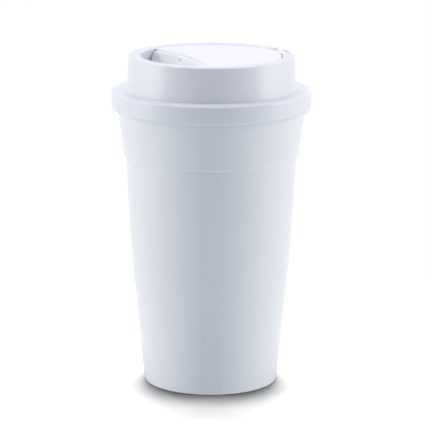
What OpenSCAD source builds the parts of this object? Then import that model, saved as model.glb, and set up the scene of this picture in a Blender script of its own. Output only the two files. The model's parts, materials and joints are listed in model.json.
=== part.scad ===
// Double-walled plastic travel mug with a push-on lid.
// The lid carries a turning closure: a flush insert with a crescent drinking
// recess on one side and a thumb tab in a notch of the rim on the other.
// Millimetres, +Z up, origin at the centre of the base, on the table.

/* [Outer shell] */
// Radius of the shell at the base
base_r = 31.95; // [28:0.05:35]
// Radius of the shell at its top edge
shell_top_r = 40.6; // [39.5:0.05:42]
// Height of the shell's top edge, where the band of the inner cup sits on it
shell_h = 109.2; // [95:0.1:118]
// How far the side stands out from a straight cone at half height
shell_bulge = 0.97; // [0:0.01:1.6]
// Wall of the shell
shell_wall = 1.6; // [1.2:0.1:2.2]
// Depth of the hollow under the base
foot_depth = 1.2; // [0.6:0.1:2.5]
// Width of the ring that the mug stands on
foot_w = 2.4; // [1.6:0.1:5]
// Rounding of the edge of the base
base_edge_r = 0.5; // [0.3:0.1:1.2]

/* [Inner cup] */
// Wall of the inner cup
liner_wall = 1.6; // [1.2:0.1:2.2]
// Thickness of the inner cup's floor
liner_floor_t = 2; // [1.4:0.1:3]
// Air gap between shell and inner cup at the inner cup's floor
side_gap = 3.1; // [1:0.1:6]
// Air gap under the inner cup's floor
floor_gap = 3; // [1.5:0.1:6]
// Air gap at the neck, just under the locating ring
neck_gap = 0.7; // [0.4:0.05:1.5]
// Height of the locating ring that drops into the shell
spigot_h = 5; // [3:0.1:8]
// Clearance of the locating ring in the shell
spigot_clear = 0.1; // [0.05:0.01:0.2]
// Rounding of the corner between floor and side, outside
liner_corner_r = 6; // [3:0.1:9]

/* [Band and mouth] */
// How far the band stands out from the shell
band_step = 0.95; // [0.5:0.05:1.6]
// Height of the slanted lower edge of the band
band_edge_h = 1.2; // [0.6:0.1:2]
// Height of the band, from its foot to the mouth
band_h = 30.4; // [26:0.1:36]
// How much the band widens from its lower edge to the mouth
band_flare = 3.9; // [2.5:0.05:5]
// Wall of the band
band_wall = 1.8; // [1.4:0.1:2.2]
// Height of the inside shoulder between the mouth and the narrower cup
shoulder_h = 8; // [6:0.1:12]

/* [Lid] */
// Height of the flange, from the skirt's lower edge to the ledge
flange_h = 8.8; // [6:0.1:11]
// Wall of the skirt
skirt_wall = 1.6; // [1.4:0.1:2.2]
// Gap between the skirt and the mouth
skirt_clear = 0.45; // [0.3:0.05:1]
// Thickness of the ledge between flange and collar
ledge_t = 1.8; // [1.4:0.1:2.4]
// Clearance between the ledge and the mouth's edge
seat_clear = 0.1; // [0.05:0.01:0.3]
// How far the collar's foot stands in from the plug
collar_in = 0.78; // [0.4:0.02:1]
// How much the collar narrows towards its top
collar_taper = 0.8; // [0.2:0.02:1.4]
// Height of the collar above the ledge
collar_h = 16.6; // [14.5:0.1:20]
// Wall of the collar and of the well
lid_wall = 1.6; // [1.2:0.1:1.9]
// Width of the rim, from the collar's side to the well
rim_w = 5.67; // [5.4:0.01:6.5]
// Thickness of the rim under the notch of the thumb tab
notch_floor_t = 1.1; // [0.8:0.1:1.6]
// Depth of the well below the rim
well_depth = 11.1; // [9.5:0.1:12.5]
// Thickness of the deck, the floor of the well
deck_t = 1.8; // [1.4:0.1:2.4]
// Rounding of the top edge of the collar
collar_edge_r = 0.8; // [0.5:0.1:1.5]
// Rounding of the top edge of the flange
flange_edge_r = 0.9; // [0.5:0.1:2]
// Rounding of the lower edge of the flange
skirt_edge_r = 1; // [0.4:0.1:1.1]
// Radius of the vent in the deck
deck_vent_r = 1; // [0.6:0.1:1.6]
// Distance of that vent from the axis
deck_vent_at = 14; // [9:0.5:22]

/* [Plug and seal] */
// Gap between the plug's lands and the mouth, at the plug's foot
plug_clear = 0.37; // [0.2:0.01:0.6]
// Wall of the plug
plug_wall = 1.6; // [1.3:0.1:2]
// Depth of the plug below the ledge's underside
plug_depth = 12.7; // [11:0.1:16]
// Height of the lands above and below the seal
land_h = 2; // [1.2:0.1:2.5]
// How far the lands stand out from the plug
land_w = 0.6; // [0.4:0.05:0.7]
// Height of the seal's groove
groove_h = 5; // [4:0.1:6]
// Thickness of the seal's back
seal_t = 0.7; // [0.5:0.05:0.9]
// Height of the lower lip above the foot of the seal
seal_lip_up = 0.6; // [0.2:0.1:1]
// Distance from the lower lip to the upper one
seal_lip_pitch = 2.2; // [1.6:0.1:2.4]
// Thickness of a seal lip where it leaves the back
seal_lip_t = 1; // [0.6:0.1:1.4]
// Thickness of a seal lip at its tip
seal_tip_t = 0.3; // [0.2:0.05:0.5]
// Clearance of the seal on the plug and in the mouth
seal_clear = 0.05; // [0.02:0.01:0.1]

/* [Closure] */
// Gap of the seam around the closure
seam_gap = 0.35; // [0.2:0.05:0.5]
// How far the closure's top lies below the rim
disc_drop = 0.2; // [0:0.05:0.4]
// Wall of the closure
disc_wall = 1.6; // [1.2:0.1:2]
// Running gap between the closure and the deck
deck_gap = 0.2; // [0.1:0.05:0.4]
// Chamfer of the closure's top edge
disc_edge = 0.3; // [0.1:0.05:0.5]
// Radius of the curved edge of the drinking recess
cut_r = 88; // [60:1:120]
// Width of the recess, from the closure's edge
cut_w = 22.6; // [18:0.1:24]
// Direction of the drinking recess, from +X
cut_dir = 204.6; // [200:0.1:210]
// Width of the ledge in the recess
cut_ledge_w = 2.2; // [1:0.1:3]
// Depth of that ledge below the closure's top
cut_ledge_drop = 1; // [0.5:0.1:2]
// Slope of the recess wall
cut_slope = 62; // [55:1:75]
// Distance of the air vent below the ledge
vent_down = 1.3; // [1.1:0.1:4]
// Angle of the air vent along the recess wall
vent_turn = 4; // [-12:0.5:12]
// Radius of the air vent
vent_r = 0.4; // [0.3:0.05:0.6]
// Radius of the air vent's countersunk mouth
vent_mouth_r = 0.95; // [0.7:0.05:1.2]

/* [Drinking slots] */
// Number of drinking slots
port_n = 4; // [2:1:4]
// Width of a drinking slot
port_w = 3.4; // [2.4:0.1:3.6]
// Length of a drinking slot
port_l = 6.9; // [4.5:0.1:7.5]
// Distance from a slot's outer end to the closure's edge
port_edge = 2.1; // [1.6:0.1:3]

/* [Thumb tab] */
// Start of the thumb tab, in degrees from +X
tab_from = 12.4; // [8:0.1:16]
// Angle that the tab takes
tab_span = 13.6; // [10:0.1:15]
// Angle that the closure turns from shut to open
turn = 9; // [7.5:0.5:12]
// Angle left free at each stop of the notch
stop_gap = 0.4; // [0.3:0.1:1.5]
// Distance from the tab's end to the collar's side
tab_inset = 1.42; // [1.2:0.02:2]
// Thickness of the tab
tab_t = 0.75; // [0.6:0.05:1.2]
// Gap between the tab and the notch's floor and end
tab_gap = 0.15; // [0.1:0.05:0.3]
// Depth of the line across the tab's root that completes the seam's circle
tab_line = 0.25; // [0.1:0.05:0.4]

/* [Pivot] */
// Radius of the pivot post on the deck
post_r = 4; // [3:0.1:4.5]
// Distance from the post's top to the underside of the closure's top
post_under = 2.7; // [1.6:0.1:3.5]
// Running clearance of the post in the hub
post_clear = 0.06; // [0.03:0.01:0.1]
// Depth of the groove that the hub's bead snaps into
snap_depth = 0.4; // [0.25:0.05:0.6]
// Height of the groove
snap_h = 1.2; // [0.8:0.1:1.6]
// Gap above and below the hub's bead in that groove
snap_gap = 0.1; // [0.05:0.05:0.2]
// Distance of the groove below the post's top
snap_down = 1.8; // [1.2:0.1:3]
// Wall of the hub
hub_wall = 1.6; // [1.2:0.1:2]
// Thickness of the ribs under the closure
rib_t = 1.2; // [0.8:0.1:1.6]
// Depth of the ribs
rib_h = 3; // [1.5:0.1:4]

/* [Hidden] */
$fn = 180;
// Straight stretches that the shell's curved side is made of
side_steps = 12;
// Points on a rounded edge
edge_steps = 6;
// Small overlap of a cutter past the face that it cuts
over = 1;

white = [0.93, 0.94, 0.97];
seal_grey = [0.86, 0.87, 0.88];

// Heights
shell_floor_z = foot_depth + shell_wall;
liner_floor_z = shell_floor_z + floor_gap;
neck_z = shell_h - spigot_h;
cup_h = shell_h + band_h;
band_z = shell_h + band_edge_h;
shoulder_z = neck_z + shoulder_h;
ledge_under_z = cup_h + seat_clear;
ledge_z = ledge_under_z + ledge_t;
skirt_z = ledge_z - flange_h;
plug_z = ledge_under_z - plug_depth;
groove_z = plug_z + land_h;
lid_top_z = ledge_z + collar_h;
deck_z = lid_top_z - well_depth;
disc_z = deck_z + deck_gap;
disc_top_z = lid_top_z - disc_drop;
cut_floor_z = disc_z + disc_wall;
cut_ledge_z = disc_top_z - cut_ledge_drop;
vent_z = cut_ledge_z - vent_down;
notch_z = disc_top_z - tab_t - tab_gap;
rim_under_z = notch_z - notch_floor_t;
post_top_z = disc_top_z - disc_wall - post_under;
snap_z = post_top_z - snap_down - snap_h;

// Radii, from the shell outwards to the mouth and the lid, and in to the closure
band_r = shell_top_r + band_step;
mouth_r = band_r + band_flare;
neck_r = shell_r(neck_z) - shell_wall - neck_gap;
liner_floor_r = shell_r(liner_floor_z) - shell_wall - side_gap;
flange_r = mouth_r + skirt_clear + skirt_wall;
land_r = mouth_in_r(plug_z) - plug_clear;
plug_r = land_r - land_w;
collar_base_r = plug_r - collar_in;
collar_top_r = collar_base_r - collar_taper;
well_r = collar_top_r - rim_w;
disc_r = well_r - seam_gap;
cut_centre_r = disc_r - cut_w + cut_r;
port_out_r = disc_r - port_edge;
port_in_r = port_out_r - port_l;
tab_r = collar_top_r - tab_inset;
hub_bore_r = post_r + post_clear;
hub_r = hub_bore_r + hub_wall;

// Angles of the thumb tab and of its notch
tab_to = tab_from + tab_span;
notch_from = tab_from - stop_gap;
notch_to = tab_to + turn + stop_gap;
// Two slots lie two turns apart, so that half a pitch shuts them
port_pitch = 2 * turn;

// Outer radius of the shell at a height
function shell_r(z) =
    base_r + (shell_top_r - base_r) * z / shell_h
    + 4 * shell_bulge * (z / shell_h) * (1 - z / shell_h);

// Outer radius of the band at a height
function band_r_at(z) = band_r + (mouth_r - band_r) * (z - band_z) / (cup_h - band_z);

// Inner radius of the mouth at a height
function mouth_in_r(z) = band_r_at(z) - band_wall;

// Points of an arc around [x, y]
function arc(x, y, r, from, to) =
    [for (i = [0:edge_steps])
        let (a = from + (to - from) * i / edge_steps)
        [x + r * cos(a), y + r * sin(a)]];

// Points of the shell's side, set in by a wall
function side(z_from, z_to, inset) =
    [for (i = [0:side_steps])
        let (z = z_from + (z_to - z_from) * i / side_steps)
        [shell_r(z) - inset, z]];

// Ring sector seen from above
module sector(r_in, r_out, from, to) {
    reach = 2 * r_out;
    intersection() {
        difference() {
            circle(r = r_out);
            circle(r = r_in);
        }
        polygon([
            [0, 0],
            [reach * cos(from), reach * sin(from)],
            [reach * cos(to), reach * sin(to)]
        ]);
    }
}

// Slot along a radius, with round ends, cut from z to z + h
module radial_slot(z, h) {
    r = port_w / 2;
    translate([0, 0, z]) {
        translate([port_in_r + r, 0, 0]) cylinder(r = r, h = h, $fn = 48);
        translate([port_out_r - r, 0, 0]) cylinder(r = r, h = h, $fn = 48);
        translate([port_in_r + r, -r, 0]) cube([port_out_r - port_in_r - port_w, port_w, h]);
    }
}

// The row of drinking slots, turned by an angle from the middle of the recess
module slot_row(shift, z, h) {
    for (i = [0:port_n - 1])
        rotate([0, 0, cut_dir + shift + (i - (port_n - 1) / 2) * port_pitch])
            radial_slot(z, h);
}

// Outer shell: foot ring, barrel-shaped side and open top
module outer_shell() {
    color(white)
    rotate_extrude()
    polygon(concat(
        [[0, foot_depth], [base_r - foot_w, foot_depth], [base_r - foot_w, 0]],
        arc(shell_r(base_edge_r) - base_edge_r, base_edge_r, base_edge_r, -90, -7),
        side(base_edge_r, shell_h, 0),
        side(shell_h, shell_floor_z, shell_wall),
        [[0, shell_floor_z]]
    ));
}

// Inner cup: straight-sided cup, locating ring, overhanging band and mouth
module inner_cup() {
    floor_top_z = liner_floor_z + liner_floor_t;
    in_corner_r = liner_corner_r - liner_wall;
    in_floor_r = liner_floor_r - liner_wall;
    lip_r = band_wall / 2;
    lip_z = cup_h - lip_r;
    color(white)
    rotate_extrude()
    polygon(concat(
        [[0, liner_floor_z]],
        arc(liner_floor_r - liner_corner_r, liner_floor_z + liner_corner_r, liner_corner_r, -90, -6),
        [
            [neck_r, neck_z],
            [shell_r(neck_z) - shell_wall - spigot_clear, neck_z],
            [shell_top_r - shell_wall - spigot_clear, shell_h],
            [shell_top_r, shell_h],
            [band_r, band_z]
        ],
        arc(band_r_at(lip_z) - lip_r, lip_z, lip_r, 0, 180),
        [
            [mouth_in_r(shoulder_z), shoulder_z],
            [neck_r - liner_wall, neck_z]
        ],
        arc(in_floor_r - in_corner_r, floor_top_z + in_corner_r, in_corner_r, -6, -90),
        [[0, floor_top_z]]
    ));
}

// Pivot post with its snap groove, as profile points from top to foot
function post_points() = [
    [0, post_top_z],
    [post_r - snap_depth, post_top_z],
    [post_r, post_top_z - snap_depth],
    [post_r, snap_z + snap_h],
    [post_r - snap_depth, snap_z + snap_h],
    [post_r - snap_depth, snap_z],
    [post_r, snap_z],
    [post_r, deck_z]
];

// Turned form of the lid, before the notch, slots and vent
module lid_body() {
    rotate_extrude()
    polygon(concat(
        [[well_r, deck_z], [well_r, lid_top_z]],
        arc(collar_top_r - collar_edge_r, lid_top_z - collar_edge_r, collar_edge_r, 90, 0),
        [[collar_base_r, ledge_z]],
        arc(flange_r - flange_edge_r, ledge_z - flange_edge_r, flange_edge_r, 90, 0),
        arc(flange_r - skirt_edge_r, skirt_z + skirt_edge_r, skirt_edge_r, 0, -90),
        [
            [flange_r - skirt_wall, skirt_z],
            [flange_r - skirt_wall, ledge_under_z],
            [plug_r, ledge_under_z],
            [plug_r, groove_z + groove_h + land_h],
            [land_r, groove_z + groove_h + land_h],
            [land_r, groove_z + groove_h],
            [plug_r, groove_z + groove_h],
            [plug_r, groove_z],
            [land_r, groove_z],
            [land_r, plug_z],
            [plug_r - plug_wall, plug_z],
            [plug_r - plug_wall, ledge_under_z],
            [collar_base_r - lid_wall, ledge_z],
            [collar_top_r - lid_wall, rim_under_z],
            [well_r + lid_wall, rim_under_z],
            [well_r + lid_wall, deck_z - deck_t],
            [0, deck_z - deck_t]
        ],
        post_points()
    ));
}

// Lid: flange, collar, rim with its notch, well, deck with slots, plug
module lid() {
    color(white)
    difference() {
        lid_body();
        // Beside the closed tab the notch is open to the outside for a fingertip
        translate([0, 0, notch_z])
            linear_extrude(height = lid_top_z - notch_z + over)
            sector(well_r - over, tab_r + tab_gap, notch_from, tab_to);
        translate([0, 0, notch_z])
            linear_extrude(height = lid_top_z - notch_z + over)
            sector(well_r - over, collar_base_r + over, tab_to, notch_to);
        slot_row(turn, deck_z - deck_t - over, deck_t + 2 * over);
        rotate([0, 0, cut_dir + 180])
            translate([deck_vent_at, 0, deck_z - deck_t - over])
            cylinder(r = deck_vent_r, h = deck_t + 2 * over, $fn = 36);
    }
}

// One lip of the seal, with its tip just short of the mouth's wall
function seal_lip(z) =
    let (tip_z = z + seal_lip_t, back_r = plug_r + seal_clear + seal_t)
    [
        [back_r, z],
        [mouth_in_r(tip_z) - seal_clear, tip_z],
        [mouth_in_r(tip_z + seal_tip_t) - seal_clear, tip_z + seal_tip_t],
        [back_r, z + seal_lip_t]
    ];

// Seal: a soft ring in the plug's groove, with two lips against the mouth
module lid_seal() {
    back_z = groove_z + seal_clear;
    back_h = groove_h - 2 * seal_clear;
    back_in_r = plug_r + seal_clear;
    color(seal_grey)
    rotate_extrude()
    polygon(concat(
        [[back_in_r, back_z], [back_in_r + seal_t, back_z]],
        seal_lip(back_z + seal_lip_up),
        seal_lip(back_z + seal_lip_up + seal_lip_pitch),
        [[back_in_r + seal_t, back_z + back_h], [back_in_r, back_z + back_h]]
    ));
}

// Radius of the recess wall, from its own centre, at a height
function cut_wall_r(z) = cut_r - cut_ledge_w - (cut_ledge_z - z) / tan(cut_slope);

// Space of the drinking recess, grown by a wall where that is wanted
module recess(grow) {
    side_grow = grow / sin(cut_slope);
    low_z = cut_floor_z - grow;
    step_z = cut_ledge_z - grow;
    rotate([0, 0, cut_dir])
    translate([cut_centre_r, 0, 0]) {
        translate([0, 0, low_z])
            cylinder(
                r1 = cut_wall_r(low_z) + side_grow,
                r2 = cut_wall_r(step_z) + side_grow,
                h = step_z - low_z
            );
        translate([0, 0, step_z])
            cylinder(r = cut_r + grow, h = disc_top_z - step_z + over);
    }
}

// Solid outline of the closure, with its chamfered top edge
module closure_block() {
    translate([0, 0, disc_z])
        cylinder(r = disc_r, h = disc_top_z - disc_edge - disc_z);
    translate([0, 0, disc_top_z - disc_edge])
        cylinder(r1 = disc_r, r2 = disc_r - disc_edge, h = disc_edge);
}

// Hub: a blind socket with a bead that snaps into the post's groove
module hub() {
    socket_top_z = post_top_z + deck_gap;
    rotate_extrude()
    polygon([
        [hub_bore_r, disc_z],
        [hub_r, disc_z],
        [hub_r, disc_top_z - disc_wall / 2],
        [0, disc_top_z - disc_wall / 2],
        [0, socket_top_z],
        [hub_bore_r, socket_top_z],
        [hub_bore_r, snap_z + snap_h - snap_gap],
        [hub_bore_r - snap_depth, snap_z + snap_h - snap_gap],
        [hub_bore_r - snap_depth, snap_z + snap_gap],
        [hub_bore_r, snap_z + snap_gap]
    ]);
}

// Ribs that tie the hub to the skirt on the side away from the recess
module ribs() {
    for (a = [-60, 0, 60])
        rotate([0, 0, cut_dir + 180 + a])
            translate([hub_r - hub_wall / 2, -rib_t / 2, disc_top_z - disc_wall - rib_h])
            cube([disc_r - disc_wall / 2 - hub_r + hub_wall / 2, rib_t, rib_h + disc_wall / 2]);
}

// Thumb tab, with the line across its root
module tab() {
    translate([0, 0, disc_top_z - tab_t])
        linear_extrude(height = tab_t - tab_line)
        sector(disc_r - disc_wall / 2, tab_r, tab_from, tab_to);
    translate([0, 0, disc_top_z - tab_t])
        linear_extrude(height = tab_t)
        sector(well_r, tab_r, tab_from, tab_to);
}

// Bore of the air vent with its countersunk mouth, square to the recess wall
module air_vent() {
    sink = vent_mouth_r - vent_r;
    rotate([0, 0, cut_dir])
        translate([cut_centre_r, 0, 0])
        rotate([0, 0, 180 + vent_turn])
        translate([cut_wall_r(vent_z), 0, vent_z])
        rotate([0, -cut_slope, 0]) {
            cylinder(r = vent_r, h = 3 * disc_wall, center = true, $fn = 36);
            translate([0, 0, -sink])
                cylinder(r1 = vent_r, r2 = vent_mouth_r + sink, h = 2 * sink, $fn = 36);
        }
}

// Closure: flush insert with recess, slots, air vent, hub and thumb tab
module closure() {
    color(white) {
        difference() {
            closure_block();
            recess(0);
            difference() {
                translate([0, 0, disc_z - over])
                    cylinder(r = disc_r - disc_wall, h = disc_top_z - disc_wall - disc_z + over);
                recess(disc_wall);
            }
            slot_row(0, disc_z - over, disc_wall + 2 * over);
            air_vent();
        }
        hub();
        ribs();
        tab();
    }
}

outer_shell();
inner_cup();
lid();
lid_seal();
closure();
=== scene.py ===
"""Dressed scene of a double-walled plastic travel mug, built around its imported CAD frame.

Sizes are in millimetres, as in the CAD source, and become metres when a mesh is finished.
"""

import json
import logging
import math
from collections.abc import Iterable, Mapping, Sequence
from dataclasses import dataclass, replace
from enum import Enum

import bmesh
import bpy
from bmesh.types import BMesh, BMEdge
from bpy.types import Collection, Material, Node, NodeSocket, NodeTree, Object
from mathutils import Matrix, Vector

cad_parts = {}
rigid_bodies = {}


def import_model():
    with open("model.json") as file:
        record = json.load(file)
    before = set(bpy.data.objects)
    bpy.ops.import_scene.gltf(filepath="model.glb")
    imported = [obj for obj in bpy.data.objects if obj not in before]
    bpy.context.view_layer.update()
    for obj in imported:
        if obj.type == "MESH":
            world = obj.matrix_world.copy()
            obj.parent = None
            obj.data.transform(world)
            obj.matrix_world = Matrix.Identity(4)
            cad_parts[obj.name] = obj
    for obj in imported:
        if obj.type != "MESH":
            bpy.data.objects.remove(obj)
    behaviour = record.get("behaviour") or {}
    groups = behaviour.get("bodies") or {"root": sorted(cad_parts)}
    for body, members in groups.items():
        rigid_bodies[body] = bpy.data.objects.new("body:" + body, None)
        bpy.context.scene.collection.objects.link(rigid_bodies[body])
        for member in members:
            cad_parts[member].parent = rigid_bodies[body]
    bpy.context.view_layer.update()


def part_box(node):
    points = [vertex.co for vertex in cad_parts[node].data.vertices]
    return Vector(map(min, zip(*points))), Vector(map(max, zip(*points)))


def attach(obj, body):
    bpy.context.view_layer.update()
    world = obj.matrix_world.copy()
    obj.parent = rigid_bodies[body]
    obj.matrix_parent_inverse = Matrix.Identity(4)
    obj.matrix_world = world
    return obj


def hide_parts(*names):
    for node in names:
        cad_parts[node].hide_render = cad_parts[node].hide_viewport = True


LOG = logging.getLogger("mug")
MM = 0.001
MERGE_DIST = 1e-4
FULL_TURN = 360.0
TURN_STEPS = 256
# How far a cutter reaches past the face that it cuts.
OVER = 1.0


class Tooling(Enum):
    """What a tool body does to the piece that it meets."""

    CUT = "DIFFERENCE"
    JOIN = "UNION"


@dataclass(frozen=True)
class Corner:
    """A corner of a turned profile, with the radius that rounds it."""

    r: float
    z: float
    fillet: float = 0.0
    steps: int = 5


def outline(corners: Sequence[Corner], closed: bool) -> BMesh:
    """Draws a profile in the XZ plane and rounds its corners.

    Args:
        corners: The profile's corners in order.
        closed: Whether the last corner joins the first.

    Returns:
        A bmesh that holds the profile as a chain of edges.
    """
    bm = bmesh.new()
    line = [bm.verts.new((corner.r, 0.0, corner.z)) for corner in corners]
    ends = line[1:] + line[:1] if closed else line[1:]
    for start, end in zip(line, ends):
        bm.edges.new((start, end))
    for vert, corner in zip(line, corners):
        if corner.fillet:
            first, second = (edge.other_vert(vert).co - vert.co for edge in vert.link_edges)
            bmesh.ops.bevel(
                bm,
                geom=[vert],
                offset=corner.fillet / math.tan(first.angle(second) / 2),
                offset_type="OFFSET",
                affect="VERTICES",
                segments=corner.steps,
                profile=0.5,
                material=-1,
            )
    return bm


def turned(
    corners: Sequence[Corner],
    closed: bool = False,
    start: float = 0.0,
    sweep: float = FULL_TURN,
    steps: int = TURN_STEPS,
) -> BMesh:
    """Turns a profile around the Z axis into a closed body.

    Args:
        corners: The profile's corners. An open profile starts and ends on the axis.
        closed: Whether the profile is a loop.
        start: Angle of the first section in degrees.
        sweep: Angle that the body covers in degrees.
        steps: Number of sections.

    Returns:
        The body, with its normals outwards.
    """
    bm = outline(corners, closed)
    full = sweep == FULL_TURN
    turn = Matrix.Rotation(math.radians(start), 3, "Z")
    bmesh.ops.rotate(bm, verts=bm.verts[:], cent=(0, 0, 0), matrix=turn)
    bmesh.ops.spin(
        bm,
        geom=bm.verts[:] + bm.edges[:],
        cent=(0, 0, 0),
        axis=(0, 0, 1),
        angle=math.radians(sweep),
        steps=steps,
        use_merge=full,
        use_duplicate=False,
    )
    bmesh.ops.remove_doubles(bm, verts=bm.verts[:], dist=MERGE_DIST)
    if not full:
        rims = [edge for edge in bm.edges if edge.is_boundary]
        bmesh.ops.holes_fill(bm, edges=rims, sides=0)
    bmesh.ops.recalc_face_normals(bm, faces=bm.faces[:])
    return bm


def moved(bm: BMesh, matrix: Matrix) -> BMesh:
    """Places a body, and returns it."""
    bmesh.ops.transform(bm, matrix=matrix, verts=bm.verts[:])
    return bm


def eased(bm: BMesh, edges: Sequence[BMEdge], width: float, segments: int = 2) -> BMesh:
    """Rounds edges of a body.

    Args:
        bm: The body.
        edges: The edges to round.
        width: Width of the rounding.
        segments: Faces across the rounding.

    Returns:
        The same body.
    """
    bmesh.ops.bevel(
        bm,
        geom=list(edges),
        offset=width,
        offset_type="OFFSET",
        affect="EDGES",
        segments=segments,
        profile=0.5,
        material=-1,
    )
    return bm


def as_object(bm: BMesh, name: str) -> Object:
    """Puts a body into the scene as an object, and frees the bmesh."""
    mesh = bpy.data.meshes.new(name)
    bm.to_mesh(mesh)
    bm.free()
    piece = bpy.data.objects.new(name, mesh)
    bpy.context.scene.collection.objects.link(piece)
    return piece


def worked(piece: Object, tools: Iterable[BMesh], tooling: Tooling) -> None:
    """Cuts tool bodies from a piece, or joins them to it, one after another.

    Args:
        piece: The piece, which keeps its name.
        tools: The tool bodies, which are used up.
        tooling: What the tool bodies do.
    """
    for bm in tools:
        tool = as_object(bm, "tool")
        modifier = piece.modifiers.new("work", "BOOLEAN")
        modifier.operation = tooling.value
        modifier.solver = "EXACT"
        modifier.object = tool
        graph = bpy.context.evaluated_depsgraph_get()
        mesh = bpy.data.meshes.new_from_object(piece.evaluated_get(graph))
        piece.modifiers.clear()
        used = [piece.data, tool.data]
        piece.data = mesh
        bpy.data.objects.remove(tool)
        for old in used:
            bpy.data.meshes.remove(old)


def completed(piece: Object, crease: float = 35.0) -> Object:
    """Brings a piece from millimetres to metres and sets how it is shaded.

    Args:
        piece: The piece in millimetres.
        crease: Angle in degrees above which an edge stays sharp.

    Returns:
        The same piece.
    """
    bm = bmesh.new()
    bm.from_mesh(piece.data)
    bmesh.ops.remove_doubles(bm, verts=bm.verts[:], dist=MERGE_DIST)
    bmesh.ops.dissolve_degenerate(bm, edges=bm.edges[:], dist=MERGE_DIST)
    bmesh.ops.scale(bm, vec=(MM, MM, MM), verts=bm.verts[:])
    bm.to_mesh(piece.data)
    bm.free()
    piece.data.shade_smooth()
    piece.data.set_sharp_from_angle(angle=math.radians(crease))
    normals = piece.modifiers.new("weighted normals", "WEIGHTED_NORMAL")
    normals.keep_sharp = True
    return piece


def linear_colour(hex_code: str) -> tuple[float, float, float, float]:
    """Turns an sRGB hex colour into the linear colour that a shader takes."""
    shares = (int(hex_code[i : i + 2], 16) / 255 for i in (1, 3, 5))
    red, green, blue = (
        share / 12.92 if share <= 0.04045 else ((share + 0.055) / 1.055) ** 2.4 for share in shares
    )
    return red, green, blue, 1.0


def add_node(
    tree: NodeTree,
    kind: str,
    settings: Mapping[str, object] | None = None,
    links: Mapping[str, NodeSocket] | None = None,
) -> Node:
    """Adds a node with its settings and links.

    Args:
        tree: The node tree.
        kind: The node's type name.
        settings: Values by property name or by input name.
        links: Output sockets by the name of the input that they feed.

    Returns:
        The new node.
    """
    node = tree.nodes.new(kind)
    inputs = {}
    for name, value in (settings or {}).items():
        if hasattr(node, name):
            setattr(node, name, value)
        else:
            inputs[name] = value
    sockets = {socket.name: socket for socket in reversed(node.inputs) if socket.enabled}
    for name, value in inputs.items():
        sockets[name].default_value = value
    for name, output in (links or {}).items():
        tree.links.new(output, sockets[name])
    return node


def fresh_tree(owner: Material | bpy.types.World) -> NodeTree:
    """Gives a material or the world an empty node tree."""
    owner.use_nodes = True
    owner.node_tree.nodes.clear()
    return owner.node_tree


@dataclass(frozen=True)
class MouldedPlastic:
    """Injection-moulded polypropylene with a satin face.

    A polished and lightly vapour-blasted mould leaves a close, soft gloss. What
    shows is a faint ripple from shrinkage, a fine tool grain and a milky depth.
    """

    name: str
    colour: str
    gloss_from: float = 0.26
    gloss_to: float = 0.35
    ripple_mm: float = 2.6
    ripple_height_mm: float = 0.008
    # Tool grain is nearer 0.1 mm, drawn at 0.5 mm so that a close view shows it.
    grain_mm: float = 0.5
    grain_height_mm: float = 0.0012
    cloud_mm: float = 24.0
    # Share of the colour that is left where the clouds are darkest.
    cloud_shade: float = 0.985
    depth_share: float = 0.12
    depth_mm: float = 1.1
    ior: float = 1.49

    def material(self) -> Material:
        """Builds the finish as a node material."""
        made = bpy.data.materials.new(self.name)
        tree = fresh_tree(made)
        place = add_node(tree, "ShaderNodeTexCoord").outputs["Object"]
        cloud = add_node(
            tree,
            "ShaderNodeTexNoise",
            {"Scale": 1 / (self.cloud_mm * MM), "Detail": 3.0, "Roughness": 0.5},
            {"Vector": place},
        ).outputs["Fac"]
        base = linear_colour(self.colour)
        shade = tuple(channel * self.cloud_shade for channel in base[:3]) + (1.0,)
        tint = add_node(
            tree,
            "ShaderNodeMix",
            {"data_type": "RGBA", "A": shade, "B": base},
            {"Factor": cloud},
        ).outputs["Result"]
        gloss = add_node(
            tree,
            "ShaderNodeMapRange",
            {"To Min": self.gloss_from, "To Max": self.gloss_to},
            {"Value": cloud},
        ).outputs["Result"]
        ripple = add_node(
            tree,
            "ShaderNodeTexNoise",
            {"Scale": 1 / (self.ripple_mm * MM), "Detail": 1.0, "Roughness": 0.4},
            {"Vector": place},
        ).outputs["Fac"]
        grain = add_node(
            tree,
            "ShaderNodeTexNoise",
            {"Scale": 1 / (self.grain_mm * MM), "Detail": 2.0, "Roughness": 0.6},
            {"Vector": place},
        ).outputs["Fac"]
        rippled = add_node(
            tree,
            "ShaderNodeBump",
            {"Strength": 1.0, "Distance": self.ripple_height_mm * MM},
            {"Height": ripple},
        ).outputs["Normal"]
        grained = add_node(
            tree,
            "ShaderNodeBump",
            {"Strength": 1.0, "Distance": self.grain_height_mm * MM},
            {"Height": grain, "Normal": rippled},
        ).outputs["Normal"]
        plastic = add_node(
            tree,
            "ShaderNodeBsdfPrincipled",
            {
                "IOR": self.ior,
                "Subsurface Weight": self.depth_share,
                "Subsurface Scale": self.depth_mm * MM,
                "Subsurface Radius": (1.0, 1.0, 1.0),
            },
            {"Base Color": tint, "Roughness": gloss, "Normal": grained},
        ).outputs["BSDF"]
        add_node(tree, "ShaderNodeOutputMaterial", links={"Surface": plastic})
        return made


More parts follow.
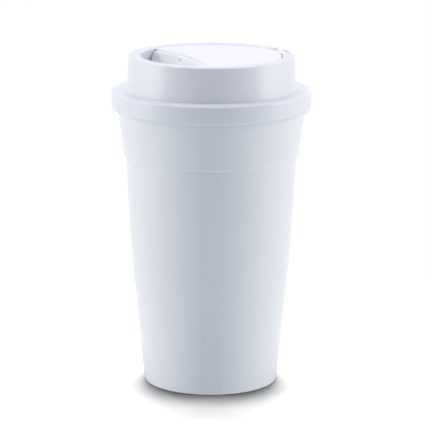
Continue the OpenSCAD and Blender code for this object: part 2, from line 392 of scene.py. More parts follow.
@dataclass(frozen=True)
class Silicone:
    """Moulded translucent silicone rubber.

    A matt tool gives a dull, slightly sticky sheen, and fine dust dulls it in patches.
    """

    name: str = "moulded silicone, matt"
    colour: str = "#DDE0E2"
    patch_mm: float = 5.0
    patch_height_mm: float = 0.01
    gloss_from: float = 0.46
    gloss_to: float = 0.6
    depth_share: float = 0.3
    depth_mm: float = 1.2
    ior: float = 1.41

    def material(self) -> Material:
        """Builds the finish as a node material."""
        made = bpy.data.materials.new(self.name)
        tree = fresh_tree(made)
        place = add_node(tree, "ShaderNodeTexCoord").outputs["Object"]
        patches = add_node(
            tree,
            "ShaderNodeTexNoise",
            {"Scale": 1 / (self.patch_mm * MM), "Detail": 4.0},
            {"Vector": place},
        ).outputs["Fac"]
        gloss = add_node(
            tree,
            "ShaderNodeMapRange",
            {"To Min": self.gloss_from, "To Max": self.gloss_to},
            {"Value": patches},
        ).outputs["Result"]
        dull = add_node(
            tree,
            "ShaderNodeBump",
            {"Strength": 1.0, "Distance": self.patch_height_mm * MM},
            {"Height": patches},
        ).outputs["Normal"]
        rubber = add_node(
            tree,
            "ShaderNodeBsdfPrincipled",
            {
                "Base Color": linear_colour(self.colour),
                "IOR": self.ior,
                "Subsurface Weight": self.depth_share,
                "Subsurface Scale": self.depth_mm * MM,
                "Subsurface Radius": (1.0, 1.0, 1.0),
            },
            {"Roughness": gloss, "Normal": dull},
        ).outputs["BSDF"]
        add_node(tree, "ShaderNodeOutputMaterial", links={"Surface": rubber})
        return made


@dataclass(frozen=True)
class Seat:
    """Where a piece belongs in the frame."""

    body: str
    node: str
    slot: str

    def take(self, piece: Object, material: Material) -> Object:
        """Seats a piece in the frame in place of its CAD node, and dresses it.

        Args:
            piece: The finished piece.
            material: Its finish.

        Returns:
            The same piece.
        """
        piece.data.materials.append(material)
        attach(piece, self.body)
        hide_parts(self.node)
        low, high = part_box(self.node)
        mine = [piece.matrix_world @ Vector(corner) for corner in piece.bound_box]
        over = max(
            max(low[i] - min(point[i] for point in mine), max(point[i] for point in mine) - high[i])
            for i in range(3)
        )
        LOG.info("%s: %d faces, %.3f mm past its node", piece.name, len(piece.data.polygons), over / MM)
        return piece


@dataclass(frozen=True)
class OuterShell:
    """Tapered outer moulding that the mug stands on."""

    base_r: float = 31.95
    top_r: float = 40.6
    height: float = 109.2
    bulge: float = 0.97
    wall: float = 1.6
    foot_depth: float = 1.2
    foot_w: float = 2.4
    base_edge_r: float = 0.5
    side_steps: int = 28
    foot_draft: float = 0.1
    # Dished mark of the mould's gate under the floor, with the nub in its middle.
    gate_r: float = 3.2
    gate_depth: float = 0.35
    gate_draft: float = 0.3
    nub_r: float = 0.7
    nub_draft: float = 0.1
    nub_depth: float = 0.05

    def radius(self, z: float) -> float:
        """Outer radius of the side at a height."""
        share = z / self.height
        cone = self.base_r + (self.top_r - self.base_r) * share
        return cone + 4 * self.bulge * share * (1 - share)

    def side(self, z_from: float, z_to: float, inset: float) -> list[Corner]:
        """Lists the profile's points along the curved side.

        Args:
            z_from: Height of the first point.
            z_to: Height of the last point.
            inset: Distance from the outer face.

        Returns:
            The points between the two heights, without the end points.
        """
        heights = (z_from + (z_to - z_from) * i / self.side_steps for i in range(1, self.side_steps))
        return [Corner(self.radius(z) - inset, z) for z in heights]

    def build(self) -> Object:
        """Builds the shell with its foot ring, gate mark and open top."""
        floor_z = self.foot_depth + self.wall
        foot_r = self.base_r - self.foot_w
        gate_z = self.foot_depth + self.gate_depth
        nub_z = self.foot_depth + self.nub_depth
        body = turned(
            [
                Corner(0, nub_z),
                Corner(self.nub_r, nub_z, 0.1, 2),
                Corner(self.nub_r + self.nub_draft, gate_z, 0.1, 2),
                Corner(self.gate_r, gate_z, 0.2, 3),
                Corner(self.gate_r + self.gate_draft, self.foot_depth, 0.2, 3),
                Corner(foot_r - self.foot_draft, self.foot_depth, 0.6),
                Corner(foot_r, 0, 0.5),
                Corner(self.base_r, 0, self.base_edge_r, 6),
                *self.side(0, self.height, 0),
                Corner(self.top_r, self.height, 0.12, 2),
                Corner(self.top_r - self.wall, self.height, 0.3, 3),
                *self.side(self.height, floor_z, self.wall),
                Corner(self.radius(floor_z) - self.wall, floor_z, 1.0, 4),
                Corner(0, floor_z),
            ]
        )
        return completed(as_object(body, "outer_shell_moulding"))


@dataclass(frozen=True)
class InnerCup:
    """Inner moulding that holds the drink, with the overhanging band and the mouth."""

    shell: OuterShell
    wall: float = 1.6
    floor_t: float = 2.0
    side_gap: float = 3.1
    floor_gap: float = 3.0
    neck_gap: float = 0.7
    spigot_h: float = 5.0
    spigot_clear: float = 0.1
    corner_r: float = 6.0
    band_step: float = 0.95
    band_edge_h: float = 1.2
    band_h: float = 30.4
    band_flare: float = 3.9
    band_wall: float = 1.8
    # How far inside the shell's edge the band's underside starts.
    band_inset: float = 0.08
    # What the two roundings of the mouth leave flat, on each side of its middle.
    lip_flat: float = 0.03
    shoulder_h: float = 8.0

    @property
    def top_z(self) -> float:
        """Height of the mouth's edge."""
        return self.shell.height + self.band_h

    def band_r(self, z: float) -> float:
        """Outer radius of the band at a height."""
        foot_z = self.shell.height + self.band_edge_h
        share = (z - foot_z) / (self.top_z - foot_z)
        return self.shell.top_r + self.band_step + self.band_flare * share

    def build(self) -> Object:
        """Builds the cup, its locating ring, the band and the rounded mouth."""
        shell = self.shell
        floor_z = shell.foot_depth + shell.wall + self.floor_gap
        inner_z = floor_z + self.floor_t
        floor_r = shell.radius(floor_z) - shell.wall - self.side_gap
        neck_z = shell.height - self.spigot_h
        neck_r = shell.radius(neck_z) - shell.wall - self.neck_gap
        ring_inset = shell.wall + self.spigot_clear
        shoulder_z = neck_z + self.shoulder_h
        band_z = shell.height + self.band_edge_h
        lip_r = self.band_wall / 2 - self.lip_flat
        body = turned(
            [
                Corner(0, floor_z),
                Corner(floor_r, floor_z, self.corner_r, 8),
                Corner(neck_r, neck_z, 0.3, 2),
                Corner(shell.radius(neck_z) - ring_inset, neck_z, 0.4, 3),
                Corner(shell.top_r - ring_inset, shell.height),
                Corner(shell.top_r - self.band_inset, shell.height),
                Corner(self.band_r(band_z), band_z, 0.5, 5),
                Corner(self.band_r(self.top_z), self.top_z, lip_r, 7),
                Corner(self.band_r(self.top_z) - self.band_wall, self.top_z, lip_r, 7),
                Corner(self.band_r(shoulder_z) - self.band_wall, shoulder_z, 3.0, 6),
                Corner(neck_r - self.wall, neck_z, 5.0, 6),
                Corner(floor_r - self.wall, inner_z, self.corner_r - self.wall, 8),
                Corner(0, inner_z),
            ]
        )
        return completed(as_object(body, "inner_cup_moulding"))


@dataclass(frozen=True)
class Slots:
    """The row of drinking slots in the middle of the recess."""

    count: int = 4
    width: float = 3.4
    length: float = 6.9
    # What the roundings leave flat at a slot's end, and the faces of each rounding.
    end_flat: float = 0.01
    end_steps: int = 12
    out_r: float = 31.3
    pitch: float = 18.0
    direction: float = 204.6

    def cutters(self, shift: float, z_from: float, z_to: float) -> list[BMesh]:
        """Makes the cutters of one row.

        Args:
            shift: Turn of the row in degrees.
            z_from: Height of the cutters' foot.
            z_to: Height of their top.

        Returns:
            One body for each slot.
        """
        made = []
        for i in range(self.count):
            bm = bmesh.new()
            bmesh.ops.create_cube(bm, size=1.0)
            moved(bm, Matrix.Diagonal((self.length, self.width, z_to - z_from, 1.0)))
            ends = ((edge, *edge.verts) for edge in bm.edges)
            upright = [edge for edge, low, high in ends if abs(high.co.z - low.co.z) > MERGE_DIST]
            eased(bm, upright, self.width / 2 - self.end_flat, self.end_steps)
            middle = Matrix.Translation((self.out_r - self.length / 2, 0, (z_from + z_to) / 2))
            angle = self.direction + shift + (i - (self.count - 1) / 2) * self.pitch
            made.append(moved(bm, Matrix.Rotation(math.radians(angle), 4, "Z") @ middle))
        return made


@dataclass(frozen=True)
class Notch:
    """Notch in the lid's rim that the thumb tab moves in."""

    start: float = 12.0
    end: float = 35.4
    tab_start: float = 12.4
    tab_end: float = 26.0
    tab_r: float = 38.0
    gap: float = 0.15
    # How far the cutter of the open side reaches back into the pocket.
    overlap: float = 0.6
    tab_t: float = 0.75
    tab_line: float = 0.25


@dataclass(frozen=True)
class Lid:
    """Push-on lid: flange, collar, rim with its notch, well, deck and plug."""

    cup: InnerCup
    slots: Slots
    notch: Notch
    flange_r: float = 47.5
    flange_h: float = 8.8
    skirt_wall: float = 1.6
    ledge_t: float = 1.8
    seat_clear: float = 0.1
    collar_base_r: float = 40.22
    collar_top_r: float = 39.42
    collar_h: float = 16.6
    wall: float = 1.6
    well_r: float = 33.75
    well_depth: float = 11.1
    deck_t: float = 1.8
    collar_edge_r: float = 0.8
    flange_edge_r: float = 0.9
    skirt_edge_r: float = 1.0
    plug_r: float = 41.0
    plug_wall: float = 1.6
    plug_depth: float = 12.7
    land_h: float = 2.0
    land_w: float = 0.6
    groove_h: float = 5.0
    notch_floor_t: float = 1.1
    disc_drop: float = 0.2
    deck_vent_r: float = 1.0
    deck_vent_at: float = 14.0
    post_r: float = 4.0
    post_h: float = 6.6
    snap_up: float = 3.6
    snap_h: float = 1.2
    snap_depth: float = 0.4

    @property
    def ledge_z(self) -> float:
        """Height of the ledge between flange and collar."""
        return self.cup.top_z + self.seat_clear + self.ledge_t

    @property
    def top_z(self) -> float:
        """Height of the rim."""
        return self.ledge_z + self.collar_h

    @property
    def deck_z(self) -> float:
        """Height of the well's floor."""
        return self.top_z - self.well_depth

    @property
    def notch_z(self) -> float:
        """Height of the notch's floor."""
        return self.top_z - self.disc_drop - self.notch.tab_t - self.notch.gap

    def profile(self) -> list[Corner]:
        """Lists the lid's corners from the post's top round to the deck's underside."""
        under_z = self.ledge_z - self.ledge_t
        skirt_z = self.ledge_z - self.flange_h
        plug_z = under_z - self.plug_depth
        groove_z = plug_z + self.land_h
        groove_top = groove_z + self.groove_h
        land_r = self.plug_r + self.land_w
        snap_z = self.deck_z + self.snap_up
        snap_r = self.post_r - self.snap_depth
        rim_under_z = self.notch_z - self.notch_floor_t
        deck_under_z = self.deck_z - self.deck_t
        return [
            Corner(0, self.deck_z + self.post_h),
            Corner(self.post_r, self.deck_z + self.post_h, 0.4, 3),
            Corner(self.post_r, snap_z + self.snap_h),
            Corner(snap_r, snap_z + self.snap_h),
            Corner(snap_r, snap_z),
            Corner(self.post_r, snap_z),
            Corner(self.post_r, self.deck_z, 0.5, 3),
            Corner(self.well_r, self.deck_z, 0.5, 4),
            Corner(self.well_r, self.top_z, 0.5, 5),
            Corner(self.collar_top_r, self.top_z, self.collar_edge_r, 8),
            Corner(self.collar_base_r, self.ledge_z, 0.2, 4),
            Corner(self.flange_r, self.ledge_z, self.flange_edge_r, 8),
            Corner(self.flange_r, skirt_z, self.skirt_edge_r, 7),
            Corner(self.flange_r - self.skirt_wall, skirt_z, 0.3, 3),
            Corner(self.flange_r - self.skirt_wall, under_z, 0.6, 4),
            Corner(self.plug_r, under_z, 0.3, 3),
            Corner(self.plug_r, groove_top + self.land_h, 0.1, 2),
            Corner(land_r, groove_top + self.land_h, 0.3, 3),
            Corner(land_r, groove_top, 0.15, 2),
            Corner(self.plug_r, groove_top),
            Corner(self.plug_r, groove_z),
            Corner(land_r, groove_z, 0.15, 2),
            Corner(land_r, plug_z, 0.6, 4),
            Corner(self.plug_r - self.plug_wall, plug_z, 0.6, 4),
            Corner(self.plug_r - self.plug_wall, under_z, 1.2, 5),
            Corner(self.collar_base_r - self.wall, self.ledge_z, 0.8, 4),
            Corner(self.collar_top_r - self.wall, rim_under_z, 0.5, 4),
            Corner(self.well_r + self.wall, rim_under_z, 0.5, 4),
            Corner(self.well_r + self.wall, deck_under_z, 0.9, 5),
            Corner(0, deck_under_z),
        ]

    def notch_cutters(self) -> list[BMesh]:
        """Makes the cutters of the tab's pocket and of its open side, where a fingertip goes."""
        notch = self.notch
        above_z = self.top_z + OVER
        pocket_r = notch.tab_r + notch.gap
        pocket = turned(
            [
                Corner(self.well_r - OVER, self.notch_z),
                Corner(pocket_r, self.notch_z, 0.15, 2),
                Corner(pocket_r, above_z),
                Corner(self.well_r - OVER, above_z),
            ],
            closed=True,
            start=notch.start,
            sweep=notch.end - notch.start,
            steps=26,
        )
        open_side = turned(
            [
                Corner(pocket_r - notch.overlap, self.notch_z),
                Corner(self.collar_base_r + OVER, self.notch_z),
                Corner(self.collar_base_r + OVER, above_z),
                Corner(pocket_r - notch.overlap, above_z),
            ],
            closed=True,
            start=notch.tab_end,
            sweep=notch.end - notch.tab_end,
            steps=12,
        )
        return [pocket, open_side]

    def vent_cutter(self) -> BMesh:
        """Makes the cutter of the air vent in the deck."""
        bm = bmesh.new()
        bmesh.ops.create_cone(
            bm,
            cap_ends=True,
            segments=32,
            radius1=self.deck_vent_r,
            radius2=self.deck_vent_r,
            depth=3 * self.deck_t,
        )
        place = Matrix.Translation((self.deck_vent_at, 0, self.deck_z - self.deck_t / 2))
        turn = Matrix.Rotation(math.radians(self.slots.direction + 180), 4, "Z")
        return moved(bm, turn @ place)

    def build(self) -> Object:
        """Builds the lid and cuts its notch, slots and vent."""
        piece = as_object(turned(self.profile()), "lid_moulding")
        worked(piece, self.notch_cutters(), Tooling.CUT)
        foot_z = self.deck_z - self.deck_t - OVER
        slots = self.slots.cutters(self.slots.pitch / 2, foot_z, self.deck_z + OVER)
        worked(piece, [*slots, self.vent_cutter()], Tooling.CUT)
        return completed(piece)


@dataclass(frozen=True)
class LidSeal:
    """Soft ring in the plug's groove, with two lips against the mouth."""

    cup: InnerCup
    lid: Lid
    thickness: float = 0.7
    clear: float = 0.05
    lip_up: float = 0.6
    lip_pitch: float = 2.2
    lip_t: float = 1.0
    tip_t: float = 0.3

    def lip(self, z: float) -> list[Corner]:
        """Lists the corners of one lip that leaves the back at a height."""
        back_r = self.lid.plug_r + self.clear + self.thickness
        tip_z = z + self.lip_t
        inset = self.cup.band_wall + self.clear
        return [
            Corner(back_r, z, 0.2, 3),
            Corner(self.cup.band_r(tip_z) - inset, tip_z, 0.12, 3),
            Corner(self.cup.band_r(tip_z + self.tip_t) - inset, tip_z + self.tip_t, 0.08, 3),
            Corner(back_r, tip_z, 0.1, 3),
        ]

    def build(self) -> Object:
        """Builds the seal."""
        lid = self.lid
        plug_z = lid.ledge_z - lid.ledge_t - lid.plug_depth
        back_z = plug_z + lid.land_h + self.clear
        back_top = back_z + lid.groove_h - 2 * self.clear
        in_r = lid.plug_r + self.clear
        body = turned(
            [
                Corner(in_r, back_z, 0.1, 2),
                Corner(in_r + self.thickness, back_z, 0.15, 3),
                *self.lip(back_z + self.lip_up),
                *self.lip(back_z + self.lip_up + self.lip_pitch),
                Corner(in_r + self.thickness, back_top, 0.15, 3),
                Corner(in_r, back_top, 0.1, 2),
            ],
            closed=True,
        )
        return completed(as_object(body, "lid_seal_ring"))


@dataclass(frozen=True)
class Closure:
    """Flush insert that turns in the lid's well, with the drinking recess and the thumb tab."""

    lid: Lid
    seam_gap: float = 0.35
    wall: float = 1.6
    deck_gap: float = 0.2
    edge_r: float = 0.35
    cut_r: float = 88.0
    cut_w: float = 22.6
    ledge_w: float = 2.2
    ledge_drop: float = 1.0
    slope: float = 62.0
    vent_down: float = 1.3
    vent_turn: float = 4.0
    vent_r: float = 0.4
    vent_mouth_r: float = 0.95
    post_clear: float = 0.06
    hub_wall: float = 1.6
    bead_gap: float = 0.1
    rib_t: float = 1.2
    rib_h: float = 3.0
    rib_edge_r: float = 0.25
    rib_turn: float = 60.0
    floor_fillet: float = 1.5
    # The cutter of the recess, from its own axis, and how far it reaches past the edge.
    cutter_in_r: float = 60.0
    cutter_span: float = 52.0
    cutter_rim: float = 1.5
    # Keeps the cutter's rim out of the plane of the flat top.
    lift: float = 0.002
    # How far the block that walls the recess reaches past the cutter, inwards, around and down.
    block_in: float = 2.0
    block_turn: float = 4.0
    block_down: float = 0.7

    @property
    def radius(self) -> float:
        """Radius of the insert."""
        return self.lid.well_r - self.seam_gap

    @property
    def foot_z(self) -> float:
        """Height of the underside."""
        return self.lid.deck_z + self.deck_gap

    @property
    def top_z(self) -> float:
        """Height of the flat top."""
        return self.lid.top_z - self.lid.disc_drop

    @property
    def ledge_z(self) -> float:
        """Height of the narrow ledge in the recess."""
        return self.top_z - self.ledge_drop

    @property
    def recess_middle(self) -> Matrix:
        """Place of the axis that the recess is turned around."""
        turn = Matrix.Rotation(math.radians(self.lid.slots.direction), 4, "Z")
        return turn @ Matrix.Translation((self.radius - self.cut_w + self.cut_r, 0, 0))

    def wall_r(self, z: float) -> float:
        """Radius of the slanted recess wall, from the recess's own axis, at a height."""
        return self.cut_r - self.ledge_w - (self.ledge_z - z) / math.tan(math.radians(self.slope))

    def recess_cutter(self) -> BMesh:
        """Makes the space of the recess, with a rounded floor corner and eased edges."""
        floor_z = self.foot_z + self.wall
        edge_z = self.top_z + self.lift
        body = turned(
            [
                Corner(self.cutter_in_r, floor_z),
                Corner(self.wall_r(floor_z), floor_z, self.floor_fillet, 6),
                Corner(self.wall_r(self.ledge_z), self.ledge_z, 0.4, 5),
                Corner(self.cut_r, self.ledge_z, 0.3, 4),
                Corner(self.cut_r, edge_z, 0.6, 6),
                Corner(self.cut_r + self.cutter_rim, edge_z),
                Corner(self.cut_r + self.cutter_rim, edge_z + 2 * OVER),
                Corner(self.cutter_in_r, edge_z + 2 * OVER),
            ],
            closed=True,
            start=180 - self.cutter_span / 2,
            sweep=self.cutter_span,
            steps=96,
        )
        return moved(body, self.recess_middle)

    def cavity_cutter(self) -> BMesh:
        """Makes the hollow under the insert, which leaves a wall around the recess."""
        grow = self.wall / math.sin(math.radians(self.slope))
        step_z = self.ledge_z - self.wall
        low_z = self.foot_z - self.block_down
        roof_z = self.top_z - self.wall
        block_in_r = self.cutter_in_r - self.block_in
        block_span = self.cutter_span + self.block_turn
        cavity = turned(
            [
                Corner(0, roof_z),
                Corner(self.radius - self.wall, roof_z, 1.0, 4),
                Corner(self.radius - self.wall, self.foot_z - OVER),
                Corner(0, self.foot_z - OVER),
            ],
            steps=128,
        )
        block = turned(
            [
                Corner(block_in_r, low_z),
                Corner(self.wall_r(low_z) + grow, low_z),
                Corner(self.wall_r(step_z) + grow, step_z, 0.5, 3),
                Corner(self.cut_r + self.wall, step_z, 0.5, 3),
                Corner(self.cut_r + self.wall, roof_z + OVER),
                Corner(block_in_r, roof_z + OVER),
            ],
            closed=True,
            start=180 - block_span / 2,
            sweep=block_span,
            steps=64,
        )
        hollow = as_object(cavity, "cavity")
        worked(hollow, [moved(block, self.recess_middle)], Tooling.CUT)
        mesh = hollow.data
        bm = bmesh.new()
        bm.from_mesh(mesh)
        bpy.data.objects.remove(hollow)
        bpy.data.meshes.remove(mesh)
        return bm

    def hub(self) -> BMesh:
        """Makes the blind socket that snaps onto the lid's post."""
        lid = self.lid
        bore_r = lid.post_r + self.post_clear
        bead_r = bore_r - lid.snap_depth
        snap_z = lid.deck_z + lid.snap_up
        socket_z = lid.deck_z + lid.post_h + self.deck_gap
        root_z = self.top_z - self.wall / 2
        return turned(
            [
                Corner(0, root_z),
                Corner(bore_r + self.hub_wall, root_z),
                Corner(bore_r + self.hub_wall, self.foot_z, 0.3, 3),
                Corner(bore_r, self.foot_z, 0.3, 3),
                Corner(bore_r, snap_z + self.bead_gap),
                Corner(bead_r, snap_z + self.bead_gap, 0.15, 2),
                Corner(bead_r, snap_z + lid.snap_h - self.bead_gap, 0.15, 2),
                Corner(bore_r, snap_z + lid.snap_h - self.bead_gap),
                Corner(bore_r, socket_z, 0.2, 2),
                Corner(0, socket_z),
            ],
            steps=96,
        )

    def ribs(self) -> list[BMesh]:
        """Makes the three ribs that tie the hub to the skirt."""
        from_r = self.lid.post_r + self.post_clear + self.hub_wall / 2
        length = self.radius - self.wall / 2 - from_r
        height = self.rib_h + self.wall / 2
        made = []
        for angle in (-self.rib_turn, 0, self.rib_turn):
            bm = bmesh.new()
            bmesh.ops.create_cube(bm, size=1.0)
            moved(bm, Matrix.Diagonal((length, self.rib_t, height, 1.0)))
            lowest = [edge for edge in bm.edges if all(vert.co.z < 0 for vert in edge.verts)]
            eased(bm, lowest, self.rib_edge_r)
            middle = (from_r + length / 2, 0, self.top_z - self.wall / 2 - height / 2)
            turn = Matrix.Rotation(math.radians(self.lid.slots.direction + 180 + angle), 4, "Z")
            made.append(moved(bm, turn @ Matrix.Translation(middle)))
        return made

    def tab(self) -> BMesh:
        """Makes the thumb tab, with the line across its root that completes the seam."""
        notch = self.lid.notch
        under_z = self.top_z - notch.tab_t
        line_z = self.top_z - notch.tab_line
        root_r = self.radius - self.wall / 2
        return turned(
            [
                Corner(root_r, under_z),
                Corner(notch.tab_r, under_z, 0.1, 2),
                Corner(notch.tab_r, self.top_z, 0.25, 3),
                Corner(self.lid.well_r, self.top_z, 0.12, 2),
                Corner(self.lid.well_r, line_z, 0.05, 2),
                Corner(root_r, line_z),
            ],
            closed=True,
            start=notch.tab_start,
            sweep=notch.tab_end - notch.tab_start,
            steps=24,
        )

    def vent_cutter(self) -> BMesh:
        """Makes the cutter of the countersunk air vent, square to the recess wall."""
        vent_z = self.ledge_z - self.vent_down
        sink = self.vent_mouth_r - self.vent_r
        # The bore runs through the wall and half as far again.
        foot_z = -1.5 * self.wall
        bore = turned(
            [
                Corner(0, foot_z),
                Corner(self.vent_r, foot_z),
                Corner(self.vent_r, -sink, 0.2, 3),
                Corner(self.vent_mouth_r + sink, sink),
                Corner(0, sink),
            ],
            steps=32,
        )
        tilt = Matrix.Rotation(math.radians(-self.slope), 4, "Y")
        place = Matrix.Translation((self.wall_r(vent_z), 0, vent_z))
        turn = Matrix.Rotation(math.radians(180 + self.vent_turn), 4, "Z")
        return moved(bore, self.recess_middle @ turn @ place @ tilt)

    def build(self) -> Object:
        """Builds the insert from its block, the cuts and what is joined to it."""
        # Two rings in the flat top keep its faces from running across it.
        block = turned(
            [
                Corner(0, self.top_z),
                Corner(self.radius / 3, self.top_z),
                Corner(self.radius * 2 / 3, self.top_z),
                Corner(self.radius, self.top_z, self.edge_r, 5),
                Corner(self.radius, self.foot_z, 0.3, 3),
                Corner(0, self.foot_z),
            ]
        )
        piece = as_object(block, "closure_moulding")
        worked(piece, [self.recess_cutter(), self.cavity_cutter()], Tooling.CUT)
        worked(piece, [self.hub(), *self.ribs(), self.tab()], Tooling.JOIN)
        floor_z = self.foot_z + self.wall
        slots = self.lid.slots.cutters(0, self.foot_z - OVER, floor_z + OVER)
        worked(piece, [*slots, self.vent_cutter()], Tooling.CUT)
        return completed(piece)


@dataclass(frozen=True)
class SoftBox:
    """A rectangular studio lamp that faces a point above the table's middle, in metres."""

    name: str
    # Degrees to the right of the camera's side, and degrees above the level.
    around: float
    above: float
    distance: float
    width: float
    height: float
    radiance: float
    colour: str = "#FFFFFF"
    aim_z: float = 0.08

    def both_sides(self) -> tuple["SoftBox", "SoftBox"]:
        """Lists the lamp and its twin across the camera's axis."""
        return self, replace(self, name=f"{self.name} twin", around=-self.around)

    def build(self, lit: Collection) -> None:
        """Adds the lamp to the scene.

        Args:
            lit: What the lamp lights. Everything else only casts shadows in it.
        """
        lamp = bpy.data.lights.new(self.name, "AREA")
        lamp.shape = "RECTANGLE"
        lamp.size = self.width
        lamp.size_y = self.height
        lamp.energy = self.radiance * math.pi * self.width * self.height
        lamp.color = linear_colour(self.colour)[:3]
        around, above = math.radians(self.around), math.radians(self.above)
        level = math.cos(above)
        way = Vector((math.sin(around) * level, -math.cos(around) * level, math.sin(above)))
        box = bpy.data.objects.new(self.name, lamp)
        box.location = Vector((0, 0, self.aim_z)) + self.distance * way
        box.rotation_euler = (-way).to_track_quat("-Z", "Y").to_euler()
        bpy.context.scene.collection.objects.link(box)
        box.light_linking.receiver_collection = lit


@dataclass(frozen=True)
class Camera:
    """The photograph's view: a long lens, a little above the mug. Places are in metres."""

    side: float = 0.00195
    distance: float = 1.2029
    height: float = 0.3471
    pitch: float = 12.5
    lean: float = 0.246
    lens: float = 214.87
    clip_start: float = 0.05
    clip_end: float = 20.0

    def build(self) -> None:
        """Adds the camera and makes it the scene's own."""
        data = bpy.data.cameras.new("camera")
        data.lens = self.lens
        data.clip_start = self.clip_start
        data.clip_end = self.clip_end
        camera = bpy.data.objects.new("camera", data)
        tilt = Matrix.Rotation(math.radians(90 - self.pitch), 4, "X")
        lean = Matrix.Rotation(math.radians(self.lean), 4, "Z")
        camera.matrix_world = Matrix.Translation((self.side, -self.distance, self.height)) @ tilt @ lean
        bpy.context.scene.collection.objects.link(camera)
        bpy.context.scene.camera = camera


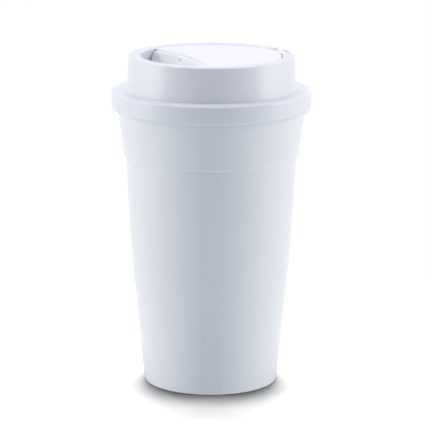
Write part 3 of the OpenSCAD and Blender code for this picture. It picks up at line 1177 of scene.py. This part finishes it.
@dataclass(frozen=True)
class Studio:
    """White table top, white surroundings, and soft boxes for the mug and for the table."""

    ambient: float = 0.198
    ambient_colour: str = "#D4E3FF"
    floor_size: float = 3.0
    # How far the table lies under the mug, so that the two faces don't share a plane.
    floor_drop_mm: float = 0.05
    # Share of the table boxes' light that shows, which keeps the mug's bounce out of its shadow.
    floor_share: float = 0.1
    # How much of that the mug's gloss mirrors, so that it mirrors white and no more.
    mirror_share: float = 0.45
    # Radiance that the white table sends up to the mug.
    floor_glow: float = 0.84
    floor_colour: str = "#ECF6FF"
    fade_from: float = 0.1
    fade_to: float = 0.24
    mug_boxes: tuple[SoftBox, ...] = (
        *SoftBox("side box", 92, 12, 1.0, 0.6, 1.0, 2.17, "#FFFBF5").both_sides(),
        *SoftBox("side strip", 77, 12, 1.0, 0.35, 1.0, 3.35, "#FFFBF5").both_sides(),
        SoftBox("top box", 0, 90, 1.02, 0.8, 0.6, 2.95, "#F3F5FF"),
        SoftBox("rear top box", 180, 45.8, 1.075, 0.9, 0.6, 1.05),
        SoftBox("rear box", 180, 50, 1.0, 0.7, 0.35, 1.0),
    )
    table_boxes: tuple[SoftBox, ...] = (
        SoftBox("table top box", 0, 86.2, 1.203, 0.35, 0.2, 528, aim_z=0),
        SoftBox("table rear box", 180, 71.6, 1.265, 0.5, 0.2, 470, aim_z=0),
        *SoftBox("table rear corner box", 150, 72, 1.2, 0.35, 0.35, 172, aim_z=0).both_sides(),
    )

    def seen_directly(self, tree: NodeTree) -> NodeSocket:
        """Adds what tells rays that show a surface from those that carry light.

        Args:
            tree: The node tree.

        Returns:
            A socket that is 1 for camera, glossy and transmission rays.
        """
        path = add_node(tree, "ShaderNodeLightPath").outputs
        shown = add_node(
            tree,
            "ShaderNodeMath",
            {"operation": "MAXIMUM"},
            {"Value": path["Is Camera Ray"]},
        )
        tree.links.new(path["Is Glossy Ray"], shown.inputs[1])
        both = add_node(
            tree,
            "ShaderNodeMath",
            {"operation": "MAXIMUM"},
            {"Value": shown.outputs[0]},
        )
        tree.links.new(path["Is Transmission Ray"], both.inputs[1])
        return both.outputs[0]

    def surroundings(self) -> None:
        """Makes the world white where it is seen, and a soft fill where it lights."""
        world = bpy.data.worlds.new("studio")
        bpy.context.scene.world = world
        tree = fresh_tree(world)
        fill = add_node(
            tree,
            "ShaderNodeBackground",
            {"Color": linear_colour(self.ambient_colour), "Strength": self.ambient},
        ).outputs[0]
        white = add_node(
            tree,
            "ShaderNodeBackground",
            {"Color": (1.0, 1.0, 1.0, 1.0), "Strength": 1.0},
        ).outputs[0]
        mix = add_node(tree, "ShaderNodeMixShader", links={"Fac": self.seen_directly(tree)})
        tree.links.new(fill, mix.inputs[1])
        tree.links.new(white, mix.inputs[2])
        add_node(tree, "ShaderNodeOutputWorld", links={"Surface": mix.outputs[0]})

    def floor_material(self) -> Material:
        """Builds the white table top, which shows the mug's shadow and fades to plain white."""
        made = bpy.data.materials.new("matt white laminate table")
        tree = fresh_tree(made)
        place = add_node(tree, "ShaderNodeTexCoord").outputs["Object"]
        reach = add_node(
            tree,
            "ShaderNodeVectorMath",
            {"operation": "LENGTH"},
            {"Vector": place},
        ).outputs["Value"]
        away = add_node(
            tree,
            "ShaderNodeMapRange",
            {"interpolation_type": "SMOOTHSTEP", "From Min": self.fade_from, "From Max": self.fade_to},
            {"Value": reach},
        ).outputs["Result"]
        seen = self.seen_directly(tree)
        mirrored = add_node(tree, "ShaderNodeLightPath").outputs["Is Glossy Ray"]
        share = add_node(
            tree,
            "ShaderNodeMapRange",
            {"To Min": self.floor_share, "To Max": self.floor_share * self.mirror_share},
            {"Value": mirrored},
        ).outputs["Result"]
        white = add_node(
            tree,
            "ShaderNodeMapRange",
            {"To Min": 0.0},
            {"Value": seen, "To Max": share},
        ).outputs["Result"]
        bounce = add_node(
            tree,
            "ShaderNodeMapRange",
            {"To Min": self.floor_glow, "To Max": 0.0},
            {"Value": seen},
        ).outputs["Result"]
        lit = add_node(tree, "ShaderNodeBsdfDiffuse", links={"Color": white}).outputs[0]
        glow = add_node(
            tree,
            "ShaderNodeEmission",
            {"Color": linear_colour(self.floor_colour)},
            {"Strength": bounce},
        ).outputs[0]
        matt = add_node(tree, "ShaderNodeAddShader")
        tree.links.new(lit, matt.inputs[0])
        tree.links.new(glow, matt.inputs[1])
        plain = add_node(tree, "ShaderNodeEmission", {"Strength": 1.0}).outputs[0]
        faded = add_node(
            tree,
            "ShaderNodeMath",
            {"operation": "MULTIPLY"},
            {"Value": away},
        )
        tree.links.new(seen, faded.inputs[1])
        top = add_node(tree, "ShaderNodeMixShader", links={"Fac": faded.outputs[0]})
        tree.links.new(matt.outputs[0], top.inputs[1])
        tree.links.new(plain, top.inputs[2])
        clear = add_node(tree, "ShaderNodeBsdfTransparent").outputs[0]
        behind = add_node(tree, "ShaderNodeNewGeometry").outputs["Backfacing"]
        sided = add_node(tree, "ShaderNodeMixShader", links={"Fac": behind})
        tree.links.new(top.outputs[0], sided.inputs[1])
        tree.links.new(clear, sided.inputs[2])
        add_node(tree, "ShaderNodeOutputMaterial", links={"Surface": sided.outputs[0]})
        return made

    def build(self, pieces: Sequence[Object]) -> None:
        """Adds the floor, the surroundings and the lamps.

        Args:
            pieces: The mug's pieces.
        """
        bm = bmesh.new()
        bmesh.ops.create_grid(bm, x_segments=1, y_segments=1, size=self.floor_size)
        bmesh.ops.translate(bm, vec=(0, 0, -self.floor_drop_mm * MM), verts=bm.verts[:])
        floor = as_object(bm, "floor")
        floor.data.materials.append(self.floor_material())
        self.surroundings()
        sets = (("mug", self.mug_boxes, pieces), ("table", self.table_boxes, [floor]))
        for name, boxes, lit in sets:
            group = bpy.data.collections.new(f"lit by the {name} boxes")
            for thing in lit:
                group.objects.link(thing)
            for box in boxes:
                box.build(group)


def main() -> None:
    """Builds the mug's pieces in order, then the studio around them."""
    logging.basicConfig(level=logging.INFO, format="%(message)s")
    for left in list(bpy.data.objects):
        bpy.data.objects.remove(left)
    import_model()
    bpy.context.scene.view_settings.view_transform = "Standard"

    body_white = MouldedPlastic("moulded polypropylene, satin white", "#E9EAEE").material()
    lid_white = MouldedPlastic("moulded polypropylene, satin lid white", "#E6E7ED").material()
    closure_white = MouldedPlastic("moulded polypropylene, satin closure white", "#F1F2F4").material()
    silicone = Silicone().material()
    shell = OuterShell()
    cup = InnerCup(shell)
    lid = Lid(cup, Slots(), Notch())
    pieces = [
        Seat("mug", "outer_shell", "shell").take(shell.build(), body_white),
        Seat("mug", "inner_cup", "cup").take(cup.build(), body_white),
        Seat("lid", "lid", "lid").take(lid.build(), lid_white),
        Seat("lid", "lid_seal", "seal").take(LidSeal(cup, lid).build(), silicone),
        Seat("closure", "closure", "closure").take(Closure(lid).build(), closure_white),
    ]

    Studio().build(pieces)
    Camera().build()


if __name__ == "__main__":
    main()
